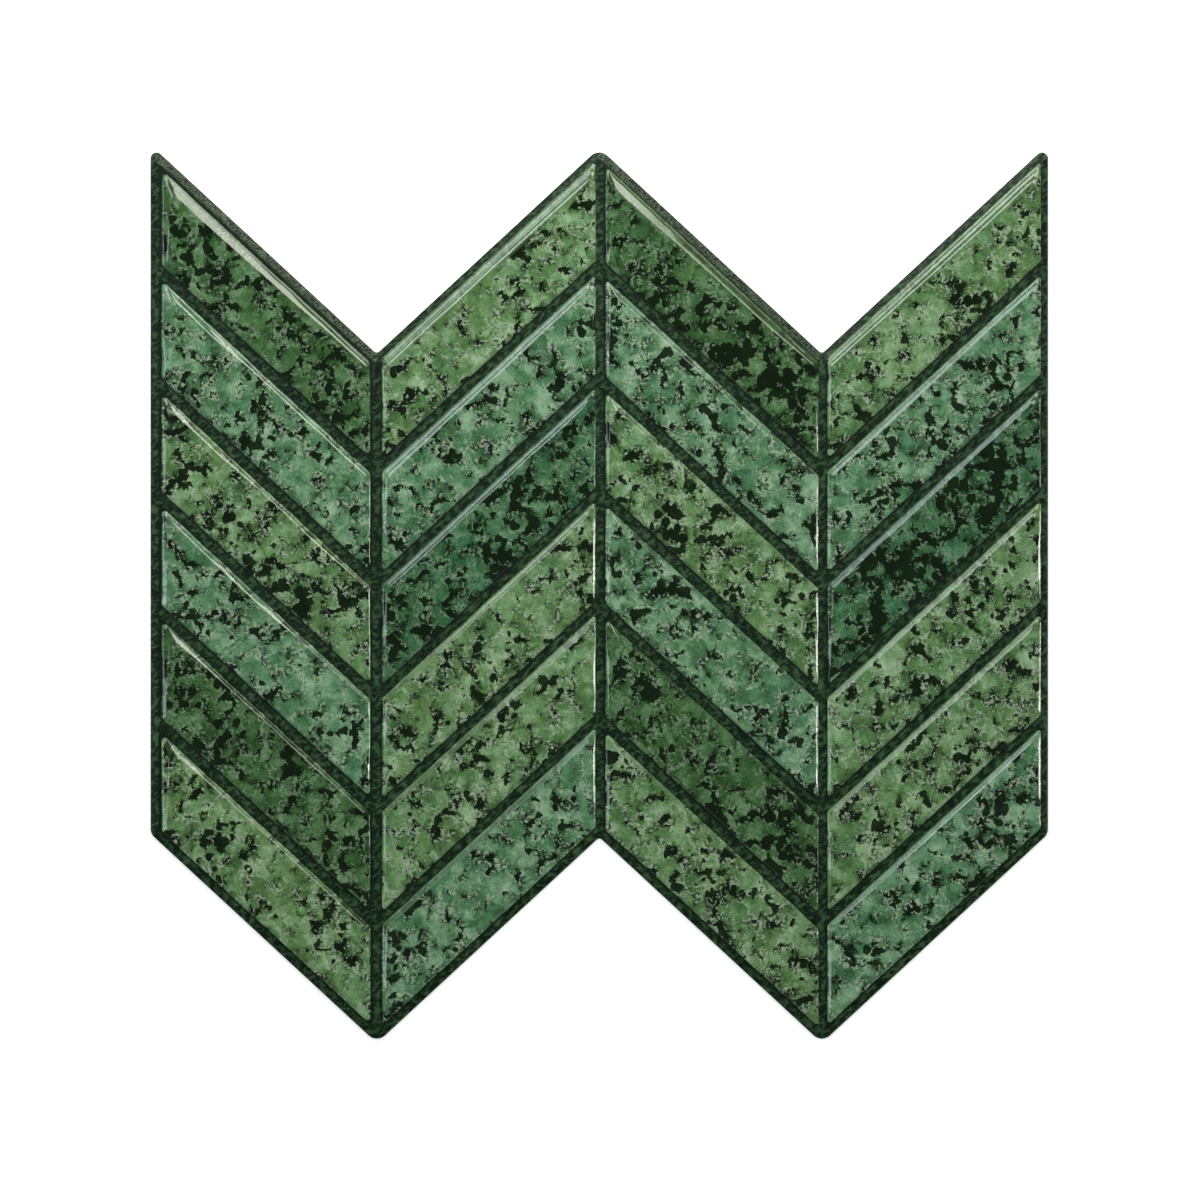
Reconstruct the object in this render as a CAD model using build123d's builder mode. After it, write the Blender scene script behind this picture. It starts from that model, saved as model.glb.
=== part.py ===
"""Peel and stick backsplash tile: a chevron sheet of domed gel pads on an embossed vinyl base sheet.

The tile lies face up with its release liner still on its back. X runs across the columns of pads, Y up the
tile as it hangs on a wall, and Z out of its face. The origin is under its middle, on the liner's back.
All sizes are in millimetres and degrees.
"""

import math
import os

from build123d import *

# Pads and their layout
COLUMNS = 4
ROWS = 6
PAD_WIDTH = 70.8  # between a pad's two upright ends
PAD_DEPTH = 24.2  # between its slanted edges, measured square to them
PAD_HEIGHT = 1.1  # crown of the gel above the base sheet
RIM_HEIGHT = 0.25  # upright rim of the gel where its pour stopped
DOME_WIDTH = 2.8  # how far in from its rim the gel climbs to its flat crown
PAD_SHARP_RADIUS = 0.9  # plan radius of the pad's two pointed corners
PAD_BLUNT_RADIUS = 1.8  # plan radius of its two wide corners
SLANT = 42.75  # slope of the slanted edges from level
JOINT = 3.6  # grout joint between neighbouring pads
BORDER = 3.0  # bare margin from the outer pads to the sheet's cut edge

# Base sheet and release liner
SHEET_THICKNESS = 1.3
SHOULDER_RADIUS = 0.8  # pressed round-over along the sheet's upper edge
TIP_RADIUS = 4.0  # outward points of the zigzag
NOTCH_RADIUS = 1.2  # inward corners, which a neighbouring tile's points fit into
SIDE_SHARP_RADIUS = 2.0  # pointed corners where the zigzag meets an upright side
SIDE_BLUNT_RADIUS = 4.0  # wide corners where the zigzag meets an upright side
LINER_THICKNESS = 0.12

# Sizes that follow from those above
SLANT_COS = math.cos(math.radians(SLANT))
SLANT_SIN = math.sin(math.radians(SLANT))
RISE = SLANT_SIN / SLANT_COS  # climb of a slanted edge for each millimetre across
COLUMN_PITCH = PAD_WIDTH + JOINT
ROW_PITCH = (PAD_DEPTH + JOINT) / SLANT_COS
SHEET_WIDTH = COLUMNS * PAD_WIDTH + (COLUMNS - 1) * JOINT + 2 * BORDER
MIDDLE_TO_EDGE = (ROWS - 1) / 2 * ROW_PITCH + (PAD_DEPTH / 2 + BORDER) / SLANT_COS
SHEET_TOP = LINER_THICKNESS + SHEET_THICKNESS


def column_centre(column):
    """X of a column's middle, with column 0 at the left."""
    return (column - (COLUMNS - 1) / 2) * COLUMN_PITCH


def row_centre(row):
    """Y of a row's middle, with row 0 at the top."""
    return ((ROWS - 1) / 2 - row) * ROW_PITCH


def lean(column):
    """-1 for a column whose pads fall to the right, +1 for one whose pads climb."""
    return -1 if column % 2 == 0 else 1


def zigzag(height):
    """Corners of a zigzag edge from left to right, at `height` in the middle of every column."""
    folds = [column_centre(column) + COLUMN_PITCH / 2 for column in range(COLUMNS - 1)]
    corners = []
    for fold, x in enumerate([-SHEET_WIDTH / 2, *folds, SHEET_WIDTH / 2]):
        column = min(fold, COLUMNS - 1)
        corners.append((x, height + lean(column) * RISE * (x - column_centre(column))))
    return corners


def zigzag_radii(is_upper):
    """Radius of each of those corners: even folds are high, so an upper edge points outward there."""
    radii = []
    for fold in range(COLUMNS + 1):
        points_outward = (fold % 2 == 0) == is_upper
        if fold in (0, COLUMNS):
            radii.append(SIDE_SHARP_RADIUS if points_outward else SIDE_BLUNT_RADIUS)
        else:
            radii.append(TIP_RADIUS if points_outward else NOTCH_RADIUS)
    return radii


def pad_corners(side):
    """Corners of a pad's outline about its middle, from its lower left corner anticlockwise."""
    half_width = PAD_WIDTH / 2
    half_height = PAD_DEPTH / 2 / SLANT_COS
    climb = side * RISE * half_width
    return [
        (-half_width, -climb - half_height),
        (half_width, climb - half_height),
        (half_width, climb + half_height),
        (-half_width, half_height - climb),
    ]


def pad_radii(side):
    """Corner radii in the same order: a pad that climbs has its points at lower left and upper right."""
    radii = [PAD_SHARP_RADIUS, PAD_BLUNT_RADIUS]
    return radii * 2 if side > 0 else radii[::-1] * 2


def gel_dome(side):
    """One pad at the origin: a prism on its outline, cut down by a domed profile from each pair of edges.

    The profile's arcs leave the flat crown level, pass the rim at its height and run on below the pad's base.
    """
    along_slant = (SLANT_COS, side * SLANT_SIN, 0)
    square_to_slant = (-side * SLANT_SIN, SLANT_COS, 0)
    across_slant = Plane(origin=(0, 0, 0), x_dir=square_to_slant, z_dir=along_slant)
    reach = (PAD_WIDTH + PAD_DEPTH) / SLANT_COS
    fall = PAD_HEIGHT - RIM_HEIGHT
    arc_radius = (DOME_WIDTH**2 + fall**2) / (2 * fall)
    foot = -RIM_HEIGHT
    foot_reach = math.sqrt((PAD_HEIGHT - foot) * (2 * arc_radius - PAD_HEIGHT + foot))
    with BuildPart() as dome:
        with BuildSketch():
            with BuildLine():
                FilletPolyline(*pad_corners(side), radius=pad_radii(side), close=True)
            make_face()
        extrude(amount=2 * PAD_HEIGHT)
        for plane, span in ((across_slant, PAD_DEPTH), (Plane.XZ, PAD_WIDTH)):
            crown = span / 2 - DOME_WIDTH
            with BuildSketch(plane):
                with BuildLine():
                    Line((-crown, PAD_HEIGHT), (crown, PAD_HEIGHT))
                    TangentArc((crown, PAD_HEIGHT), (crown + foot_reach, foot), tangent=(1, 0))
                    Line((crown + foot_reach, foot), (-crown - foot_reach, foot))
                    TangentArc((-crown, PAD_HEIGHT), (-crown - foot_reach, foot), tangent=(-1, 0))
                make_face()
            extrude(amount=reach, both=True, mode=Mode.INTERSECT)
    return dome.part


os.makedirs("parts", exist_ok=True)

# Die-cut outline that the base sheet and its liner share
upper_edge = zigzag(MIDDLE_TO_EDGE)
lower_edge = zigzag(-MIDDLE_TO_EDGE)
outline_corners = lower_edge + upper_edge[::-1]
outline_radii = zigzag_radii(is_upper=False) + zigzag_radii(is_upper=True)[::-1]
with BuildSketch() as tile_outline:
    with BuildLine():
        FilletPolyline(*outline_corners, radius=outline_radii, close=True)
    make_face()

# Release liner, which peels off the adhesive on the sheet's back
with BuildPart() as release_liner:
    extrude(tile_outline.sketch, amount=LINER_THICKNESS)
release_liner.part.label = "release_liner"
export_step(release_liner.part, "parts/release_liner.step")

# Base sheet, whose bare face shows as the joints between the pads
with BuildPart() as base_sheet:
    with BuildSketch(Plane.XY.offset(LINER_THICKNESS)):
        add(tile_outline.sketch)
    extrude(amount=SHEET_THICKNESS)
    fillet(base_sheet.faces().sort_by(Axis.Z)[-1].outer_wire().edges(), radius=SHOULDER_RADIUS)
base_sheet.part.label = "base_sheet"
export_step(base_sheet.part, "parts/base_sheet.step")

# Gel pads, standing on the sheet in columns that lean by turns
domes = {side: gel_dome(side) for side in (-1, 1)}
for row in range(ROWS):
    for column in range(COLUMNS):
        name = f"gel_pad_row{row + 1}_col{column + 1}"
        with BuildPart() as gel_pad:
            with Locations((column_centre(column), row_centre(row), SHEET_TOP)):
                add(domes[lean(column)])
        gel_pad.part.label = name
        export_step(gel_pad.part, f"parts/{name}.step")
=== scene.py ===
"""Looks of the peel and stick backsplash tile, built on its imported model.

Each pad is gel poured over a printed stone, the base sheet has its pressed grain as relief, and the release
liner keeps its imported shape. Lengths are in metres, and the tile lies face up with Y up its face.
The file is laid out as an add-on and is run as a script.
"""

import math

import bpy
import numpy as np
from bpy.props import FloatProperty, FloatVectorProperty, PointerProperty
from mathutils import Matrix, Vector


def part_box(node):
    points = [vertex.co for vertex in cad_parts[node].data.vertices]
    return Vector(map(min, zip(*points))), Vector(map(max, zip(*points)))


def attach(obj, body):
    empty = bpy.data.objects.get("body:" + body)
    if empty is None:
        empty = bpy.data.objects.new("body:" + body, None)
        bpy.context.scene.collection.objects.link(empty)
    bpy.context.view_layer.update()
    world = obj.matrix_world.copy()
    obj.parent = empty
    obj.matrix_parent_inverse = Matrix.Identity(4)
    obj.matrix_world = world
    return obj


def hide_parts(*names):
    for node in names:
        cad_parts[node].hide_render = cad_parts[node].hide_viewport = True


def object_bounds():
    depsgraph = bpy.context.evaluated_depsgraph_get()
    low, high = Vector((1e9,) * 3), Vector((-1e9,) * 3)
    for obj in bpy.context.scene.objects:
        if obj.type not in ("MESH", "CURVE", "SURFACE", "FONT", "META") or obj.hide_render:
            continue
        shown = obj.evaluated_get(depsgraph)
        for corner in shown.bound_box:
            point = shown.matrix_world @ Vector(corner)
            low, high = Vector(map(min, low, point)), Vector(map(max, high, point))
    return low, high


bl_info = {
    "name": "Backsplash Tile",
    "version": (1, 0, 0),
    "blender": (4, 5, 0),
    "location": "View3D > Sidebar > Tile",
    "description": "Dresses a peel and stick chevron tile: gel pads, grained sheet, liner and studio",
    "category": "Object",
}

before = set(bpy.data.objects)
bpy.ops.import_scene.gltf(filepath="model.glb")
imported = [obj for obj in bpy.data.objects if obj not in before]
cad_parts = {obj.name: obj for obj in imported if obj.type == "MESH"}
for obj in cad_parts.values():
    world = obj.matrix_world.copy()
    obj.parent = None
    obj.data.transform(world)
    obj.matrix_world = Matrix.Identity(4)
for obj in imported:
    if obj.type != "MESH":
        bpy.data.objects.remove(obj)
CAD_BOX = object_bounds()

# Layout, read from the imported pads
MM = 0.001
CM = 10 * MM
ROWS = 6
COLUMNS = 4
SLANT = math.radians(42.75)  # slope of the pads' slanted edges from level
SLANT_COS = math.cos(SLANT)
RISE = math.tan(SLANT)


def pad_node(row, column):
    """Name of a packed pad, with rows counted from the top and columns from the left."""
    return f"gel_pad_row{row}_col{column}"


def pad_box(row, column):
    """Lowest and highest corner of a packed pad."""
    low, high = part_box(pad_node(row, column))
    return np.array(low), np.array(high)


SHEET_LOW, SHEET_HIGH = (np.array(corner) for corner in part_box("base_sheet"))
PAD_CENTRES = {
    (row, column): np.mean(pad_box(row, column), axis=0)
    for row in range(1, ROWS + 1)
    for column in range(1, COLUMNS + 1)
}
PAD_WIDTH, _, PAD_HEIGHT = np.subtract(*pad_box(1, 1)[::-1])
COLUMN_PITCH = PAD_CENTRES[1, 2][0] - PAD_CENTRES[1, 1][0]
ROW_PITCH = PAD_CENTRES[1, 1][1] - PAD_CENTRES[2, 1][1]
JOINT = COLUMN_PITCH - PAD_WIDTH
PAD_DEPTH = ROW_PITCH * SLANT_COS - JOINT  # between a pad's slanted edges, square to them
SHEET_TOP = SHEET_HIGH[2]
SHEET_REACH = SHEET_HIGH[0]  # from the middle to an upright side
PAD_REACH = COLUMNS / 2 * COLUMN_PITCH - JOINT / 2
BORDER = SHEET_REACH - PAD_REACH
PAD_RISE = PAD_DEPTH / SLANT_COS  # height of a pad's upright ends
FIELD_RISE = (ROWS - 1) / 2 * ROW_PITCH + PAD_RISE / 2  # sheet's middle to the outermost pads' edges
EDGE_RISE = FIELD_RISE + BORDER / SLANT_COS  # sheet's middle to its cut edge

# Stone shade of each row's falling pads and of its climbing pads, as the record's slots name them
SHADES = (
    ("gel_forest", "gel_olive"),
    ("gel_sea", "gel_sea"),
    ("gel_olive", "gel_emerald"),
    ("gel_sea", "gel_olive"),
    ("gel_forest", "gel_olive"),
    ("gel_olive", "gel_sea"),
)
DARK_SHADES = ("gel_forest", "gel_emerald")


def pad_shade(row, column):
    """Slot of a pad's stone shade."""
    return SHADES[row - 1][(column - 1) % 2]


def lean(column):
    """-1 for a column whose pads fall to the right, +1 for one whose pads climb."""
    return -1 if column % 2 else 1


def screen_colour(red, green, blue):
    """Linear colour of a screen colour given in levels from 0 to 255."""
    level = np.array((red, green, blue)) / 255
    linear = np.where(level > 0.04045, ((level + 0.055) / 1.055) ** 2.4, level / 12.92)
    return tuple(linear.tolist())


# Settings that a user would change


def length_setting(name, description, default):
    """Property that holds a length."""
    return FloatProperty(name=name, description=description, default=default, unit="LENGTH")


def share_setting(name, description, default):
    """Property that holds a share or a strength."""
    return FloatProperty(name=name, description=description, default=default, subtype="FACTOR")


def colour_setting(name, description, levels):
    """Property that holds a colour, given in screen levels from 0 to 255."""
    default = screen_colour(*levels)
    return FloatVectorProperty(name=name, description=description, default=default, subtype="COLOR")


class GelPadSettings(bpy.types.PropertyGroup):
    """Shape of the poured gel."""

    rim_height: length_setting("Rim Height", "Upright rim of the gel where its pour stopped", 0.25 * MM)
    climbing_shoulder: length_setting(
        "Climbing Shoulder", "Dome width along the climbing pads' upper edge, low on the sheet", 2.5 * MM
    )
    top_climbing_shoulder: length_setting(
        "Top Climbing Shoulder", "Dome width along the top climbing pads' upper edge", 6.0 * MM
    )
    falling_shoulder: length_setting(
        "Falling Shoulder", "Dome width along the falling pads' upper edge, low on the sheet", 3.0 * MM
    )
    top_falling_shoulder: length_setting(
        "Top Falling Shoulder", "Dome width along the top falling pads' upper edge", 3.5 * MM
    )
    ripple: share_setting(
        "Ripple", "Swing of the slope across a climbing shoulder, low on the sheet", 0.48
    )
    upper_taper: share_setting(
        "Upper Taper", "Share that an upper shoulder loses from the pad's middle to its right end", 0.12
    )
    left_taper: share_setting(
        "Left Taper", "Share that a left shoulder loses from the middle to the lower corner", 0.3
    )
    left_shoulder: length_setting("Left Shoulder", "Dome width along the left upright end", 1.8 * MM)
    right_shoulder: length_setting("Right Shoulder", "Dome width along the right upright end", 1.2 * MM)
    lower_shoulder: length_setting("Lower Shoulder", "Dome width along the lower edge", 1.6 * MM)
    sharp_radius: length_setting("Sharp Corner", "Plan radius of the two pointed corners", 0.9 * MM)
    blunt_radius: length_setting("Blunt Corner", "Plan radius of the two wide corners", 1.8 * MM)
    rim_wobble: length_setting(
        "Rim Wobble", "How far the poured rim strays from its straight line", 0.10 * MM
    )
    crown_wave: length_setting("Crown Wave", "Height of the slow waves on the gel's crown", 0.03 * MM)


class StonePrintSettings(bpy.types.PropertyGroup):
    """Colours of the print under the gel."""

    olive: colour_setting("Olive", "Yellowish green stone", (92, 125, 69))
    olive_drift: colour_setting("Olive Drift", "Hue that the olive stone drifts to", (80, 123, 78))
    olive_dull: colour_setting("Olive Dull", "Olive stone close to its flecks", (93, 117, 74))
    sea: colour_setting("Sea", "Pale blue green stone", (73, 122, 87))
    sea_drift: colour_setting("Sea Drift", "Hue that the sea stone drifts to", (81, 122, 81))
    sea_dull: colour_setting("Sea Dull", "Sea stone close to its flecks", (85, 114, 83))
    forest: colour_setting("Forest", "Dark leaf green stone", (61, 95, 46))
    forest_drift: colour_setting("Forest Drift", "Hue that the forest stone drifts to", (50, 92, 54))
    forest_dull: colour_setting("Forest Dull", "Forest stone close to its flecks", (60, 85, 48))
    emerald: colour_setting("Emerald", "Dark blue green stone", (44, 99, 66))
    emerald_drift: colour_setting("Emerald Drift", "Hue that the emerald stone drifts to", (60, 98, 58))
    emerald_dull: colour_setting("Emerald Dull", "Emerald stone close to its flecks", (57, 88, 60))
    fleck: colour_setting("Fleck", "Dark mineral flecks", (11, 26, 9))
    pale_crumb: colour_setting("Pale Crumb", "Mineral crumbs in the light stones", (166, 183, 158))
    dim_crumb: colour_setting("Dim Crumb", "Mineral crumbs in the dark stones", (128, 152, 122))
    gloss: share_setting("Gel Roughness", "Roughness of the cured gel", 0.06)


class BaseSheetSettings(bpy.types.PropertyGroup):
    """Grain, edge and finish of the vinyl base sheet."""

    mesh_step: length_setting("Mesh Step", "Spacing of the bare face's mesh", 0.5 * MM)
    grain_pitch: length_setting("Grain Pitch", "Size of the pressed grain's pebbles", 1.3 * MM)
    grain_depth: length_setting("Grain Depth", "Depth of the pressed grain", 0.12 * MM)
    shoulder_width: length_setting(
        "Shoulder Width", "How far in from its cut edge the sheet starts to round over", 2.8 * MM
    )
    shoulder_drop: length_setting(
        "Shoulder Drop", "How far the rounded edge falls before the cut", 0.75 * MM
    )
    tip_radius: length_setting("Tip Radius", "Plan radius of the zigzag's outward points", 4.0 * MM)
    notch_radius: length_setting("Notch Radius", "Plan radius of the zigzag's inward corners", 1.2 * MM)
    sharp_side_radius: length_setting(
        "Sharp Side Corner", "Plan radius of the pointed corners at the upright sides", 2.0 * MM
    )
    blunt_side_radius: length_setting(
        "Blunt Side Corner", "Plan radius of the wide corners at the upright sides", 4.0 * MM
    )
    # Painted shade and highlight: the valleys' dark and the ridges' pale colour follow the grain's relief,
    # standing in for its shading
    shaded_valley: colour_setting(
        "Grain Valleys", "Colour of the sheet between the ridges of its grain", (7, 25, 13)
    )
    lit_ridge: colour_setting("Grain Ridges", "Colour of the sheet on the ridges of its grain", (60, 87, 57))
    # Painted sheen: a pale colour mixed onto the upper falling edges' shoulder, for the lamps' sheen there
    rubbed: colour_setting(
        "Painted Sheen", "Colour that the sheet's upper falling edges are rubbed to", (138, 144, 126)
    )
    paper: colour_setting("Liner Paper", "Colour of the release liner", (226, 222, 210))


class StageSettings(bpy.types.PropertyGroup):
    """Floor, camera and studio light."""

    floor_radius: length_setting("Floor Radius", "Radius of the white floor", 8.0)
    floor_colour: FloatVectorProperty(
        name="Floor",
        description="Colour of the floor",
        default=(0.8, 0.8, 0.8),
        subtype="COLOR",
    )
    floor_glow: share_setting(
        "Floor White", "What the floor adds to its own shade where the camera sees it", 0.42
    )
    focal_length: FloatProperty(
        name="Lens",
        description="Focal length on a 36 mm sensor",
        default=150.0,
        unit="CAMERA",
    )
    view_width: length_setting("View Width", "Width of floor that the picture takes in", 401.3 * MM)
    view_centre: FloatVectorProperty(
        name="View Centre",
        description="Point of the tile at the middle of the picture",
        default=(0.23 * MM, -1.5 * MM),
        size=2,
        unit="LENGTH",
    )
    ceiling: share_setting("Ceiling", "Brightness of the room straight above the tile", 0.08)
    walls: share_setting("Walls", "Brightness of the room at the horizon", 0.9)


# Surfaces

LATTICE = 97  # size of the repeating table of random values
CREASE = math.radians(60)  # an edge that turns by more than this stays sharp


def lattice_noise(x, y, seed):
    """Smooth noise from -1 to 1 with features one unit across.

    Random heights on a square lattice, mixed with an eased weight along x and then along y.
    """
    heights = np.random.default_rng(seed).uniform(-1, 1, (LATTICE, LATTICE))
    column = np.floor(x).astype(int)
    row = np.floor(y).astype(int)
    across = x - column
    along = y - row
    across = across**2 * (3 - 2 * across)
    along = along**2 * (3 - 2 * along)

    def height(column_step, row_step):
        return heights[(row + row_step) % LATTICE, (column + column_step) % LATTICE]

    low = height(0, 0) + (height(1, 0) - height(0, 0)) * across
    high = height(0, 1) + (height(1, 1) - height(0, 1)) * across
    return low + (high - low) * along


def pebbles(x, y, seed):
    """Pebbled relief from 0 to 1 with one pebble per unit cell.

    One minus the distance to the closest of the random points, one in each cell of a square lattice.
    """
    jitter = np.random.default_rng(seed).uniform(0.1, 0.9, (LATTICE, LATTICE, 2))
    column = np.floor(x).astype(int)
    row = np.floor(y).astype(int)
    nearest = np.ones(x.shape)
    for row_step in (-1, 0, 1):
        for column_step in (-1, 0, 1):
            shift = jitter[(row + row_step) % LATTICE, (column + column_step) % LATTICE]
            gap_x = column + column_step + shift[..., 0] - x
            gap_y = row + row_step + shift[..., 1] - y
            nearest = np.minimum(nearest, np.hypot(gap_x, gap_y))
    return 1 - nearest


def ease(value, low, high):
    """0 below `low`, 1 above `high`, and a smooth step between."""
    share = np.clip((value - low) / (high - low), 0, 1)
    return share**2 * (3 - 2 * share)


def ring_faces(ring_count, ring_size):
    """Quads between neighbouring closed rings of points, from the outermost in, facing outwards."""
    ring, point = np.meshgrid(np.arange(ring_count - 1), np.arange(ring_size), indexing="ij")
    following = (point + 1) % ring_size
    corners = [
        ring * ring_size + point,
        ring * ring_size + following,
        (ring + 1) * ring_size + following,
        (ring + 1) * ring_size + point,
    ]
    return np.stack(corners, axis=-1).reshape(-1, 4).tolist()


def make_piece(name, points, faces, crease):
    """A smooth shaded object from points and faces, with edges sharper than `crease` kept sharp."""
    mesh = bpy.data.meshes.new(name)
    mesh.from_pydata(points.tolist(), [], faces)
    mesh.shade_smooth()
    mesh.set_sharp_from_angle(angle=crease)
    piece = bpy.data.objects.new(name, mesh)
    bpy.context.scene.collection.objects.link(piece)
    return piece


def keep_values(piece, name, values):
    """Keeps one number for each point of a piece, for its material to read."""
    piece.data.attributes.new(name, "FLOAT", "POINT").data.foreach_set("value", values)


# Gel pads

DOME_STEPS = np.linspace(0, 1, 31) ** 1.4  # rings across a shoulder, closer together at the rim
CROWN_STEPS = np.array((0.08, 0.2, 0.35, 0.55, 0.75, 0.92))  # rings from there to the middle
SIDE_SAMPLES = (110, 40, 110, 40)  # points along the lower, right, upper and left side
ARC_SAMPLES = 7  # points round a corner
CORNER_GROWTH = 0.6  # what a corner's radius gains on the way in, as a share of that way
CORNER_LIMIT = 0.4  # longest cut at a corner, as a share of its shorter side

# Slope of a shoulder, over shares of its width
SLOPE_STEPS = 501
RIM_REACH = 0.07  # where the kick at the rim has faded
RIPPLE_END = (0.4, 0.9)  # between these the ripples die out
RIPPLE_PITCH = 1.3 * MM  # from one ripple of a climbing shoulder to the next

# Slow and fast noise on the pads
RIM_NOISE = 7 * MM  # length over which the rim wanders
FINE_RIM_NOISE = 1.1 * MM  # the same for the finer wander on it
FINE_RIM_SHARE = 0.2
WIDTH_NOISE = 16 * MM  # length over which the shoulders widen and narrow
WIDTH_SHARE = 0.22  # and by what share
CROWN_NOISE = 11 * MM  # length of the crown's waves
CROWN_FROM = 0.6  # share of a shoulder's width from which the crown's waves rise
LEFT_FOCUS = 4  # keeps the left ends' taper to the points that face left

# Painted glare: stretch under the upper shoulder where the print gives way to plain green,
# standing in for the highlights that wash it out there
GLARE_END = (0.88, 0.985)  # shares of the dome's height between which it ends
UPPER_GAIN = 1.4  # makes a side that faces up count in full
FALLING_GLARE = 0.4  # strength on the falling pads below the top row

# Shoulders by column, low on the sheet and in the top row
ROW_FADE = 0.3  # what each row keeps of the way the shoulders differ in the row above
LOW_KICK = 6  # how much steeper than the bevel behind it the gel leaves its rim
LOW_WIDTH = (0.85, 1, 0.6, 0.86)  # shares of the set widths
LOW_LEVEL = (0.3, 0.7, 0.3, 0.7)  # share of the width from which the bevel levels out
LOW_TAPER = (1, 0, 1, 0)  # shares of the set taper
LOW_SPREAD = np.array((0.1, 0.65, 0.1, 0.65)) * MM  # how far the gel spreads past the die line
TOP_WIDTH = (1, 1, 1.15, 0.95)
TOP_LEVEL = (0.7, 0.2, 0.45, 0.3)
TOP_KICK = (6, 3.5, 6, 2.5)
TOP_TAPER = (3.2, 0, 3.5, -2)
TOP_SPREAD = np.array((-0.6, 0.65, 0, 0.65)) * MM
LEFT_WIDTH = (1.4, 1, 1, 1)
LEFT_SPREAD = np.array((-0.8, 0, -0.25, 0)) * MM
RIGHT_WIDTH = (1.4, 1.05, 1.14, 1.25)
RIGHT_SPREAD = np.array((-0.3, 0.6, 0.65, 0.55)) * MM
DARK_RIGHT_WIDTH = 1.9  # for a pad of a dark shade
END_LEVEL = 0.6  # of both upright ends
LOWER_LEVEL = 0.5
LOWER_SPREAD = -0.2 * MM


def shoulder_heights(level_from, ripple, kick, ripple_count):
    """Shares of a shoulder's height at even steps of its width.

    The running sum of a slope that starts steeper by `kick` at the rim, holds an even bevel up to
    `level_from` and levels out at the crown, and that swings `ripple_count` times by `ripple` of itself,
    less and less.
    """
    grid = np.linspace(0, 1, SLOPE_STEPS)
    slope = 1 - ease(grid, level_from, 1) + kick * np.exp(-grid / RIM_REACH)
    swing = np.sin(2 * math.pi * ripple_count * grid) * (1 - ease(grid, *RIPPLE_END))
    slope = slope * (1 + ripple * swing)
    height = np.concatenate(((0,), np.cumsum((slope[1:] + slope[:-1]) / 2)))
    return grid, height / height[-1]


def pad_shoulders(settings, row, column):
    """Width, levelling start, spread, ripple and kick of a pad's lower, right, upper and left shoulder."""
    place = column - 1
    top = ROW_FADE ** (row - 1)
    if lean(column) > 0:
        widths = settings.climbing_shoulder, settings.top_climbing_shoulder
        ripple = settings.ripple * (1 + top / 2)
    else:
        widths = settings.falling_shoulder, settings.top_falling_shoulder
        ripple = 0
    width = widths[0] * LOW_WIDTH[place] * (1 - top) + widths[1] * TOP_WIDTH[place] * top
    level = LOW_LEVEL[place] * (1 - top) + TOP_LEVEL[place] * top
    kick = LOW_KICK * (1 - top) + TOP_KICK[place] * top
    spread = TOP_SPREAD[place] if row == 1 else LOW_SPREAD[place]
    is_dark = pad_shade(row, column) in DARK_SHADES
    right_width = settings.right_shoulder * (DARK_RIGHT_WIDTH if is_dark else RIGHT_WIDTH[place])
    left_width = settings.left_shoulder * LEFT_WIDTH[place]
    lower = (settings.lower_shoulder, LOWER_LEVEL, LOWER_SPREAD, 0, LOW_KICK)
    right = (right_width, END_LEVEL, RIGHT_SPREAD[place], 0, LOW_KICK)
    upper = (width, level, spread, ripple, kick)
    left = (left_width, END_LEVEL, LEFT_SPREAD[place], 0, LOW_KICK)
    return np.array((lower, right, upper, left)).T


def rounded_rings(side, insets, radii):
    """Rounded parallelograms, one for each row of `insets`, and the inward direction at their points.

    The four sides move in by their insets and meet at four corners. Each corner is cut back to an arc that
    turns the inward direction evenly from one side's to the next one's. Sides and corners go anticlockwise
    from the lower side and the lower left corner.
    """
    lower, right, upper, left = insets.T
    low_x = left - PAD_WIDTH / 2
    high_x = PAD_WIDTH / 2 - right
    low_y = lower / SLANT_COS - PAD_RISE / 2
    high_y = PAD_RISE / 2 - upper / SLANT_COS
    slope = side * RISE
    corners = np.stack(
        [
            np.stack((low_x, low_y + slope * low_x), axis=-1),
            np.stack((high_x, low_y + slope * high_x), axis=-1),
            np.stack((high_x, high_y + slope * high_x), axis=-1),
            np.stack((low_x, high_y + slope * low_x), axis=-1),
        ],
        axis=1,
    )
    spans = np.roll(corners, -1, axis=1) - corners
    lengths = np.linalg.norm(spans, axis=-1)
    along = spans[0] / lengths[0][:, None]
    inward = np.stack((-along[:, 1], along[:, 0]), axis=-1)
    turns = np.arccos(np.sum(along * np.roll(along, 1, axis=0), axis=-1))
    shortest = np.minimum(lengths, np.roll(lengths, 1, axis=1))
    radii = np.minimum(radii, CORNER_LIMIT * shortest / np.tan(turns / 2))
    cut_back = radii * np.tan(turns / 2)

    rings = []
    directions = []
    for here in range(4):
        there = (here + 1) % 4
        start = corners[:, here] + along[here] * cut_back[:, here, None]
        end = corners[:, there] - along[here] * cut_back[:, there, None]
        share = np.linspace(0, 1, SIDE_SAMPLES[here])[None, :, None]
        rings.append(start[:, None] + (end - start)[:, None] * share)
        directions.append(np.repeat(inward[here][None], SIDE_SAMPLES[here], axis=0))
        turned = turns[there] * np.linspace(0, 1, ARC_SAMPLES + 2)[1:-1, None]
        facing = np.sin(turns[there] - turned) * inward[here] + np.sin(turned) * inward[there]
        facing /= np.sin(turns[there])
        centre = end + inward[here] * radii[:, there, None]
        rings.append(centre[:, None] - facing[None] * radii[:, there, None, None])
        directions.append(facing)
    return np.concatenate(rings, axis=1), np.concatenate(directions)


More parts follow.
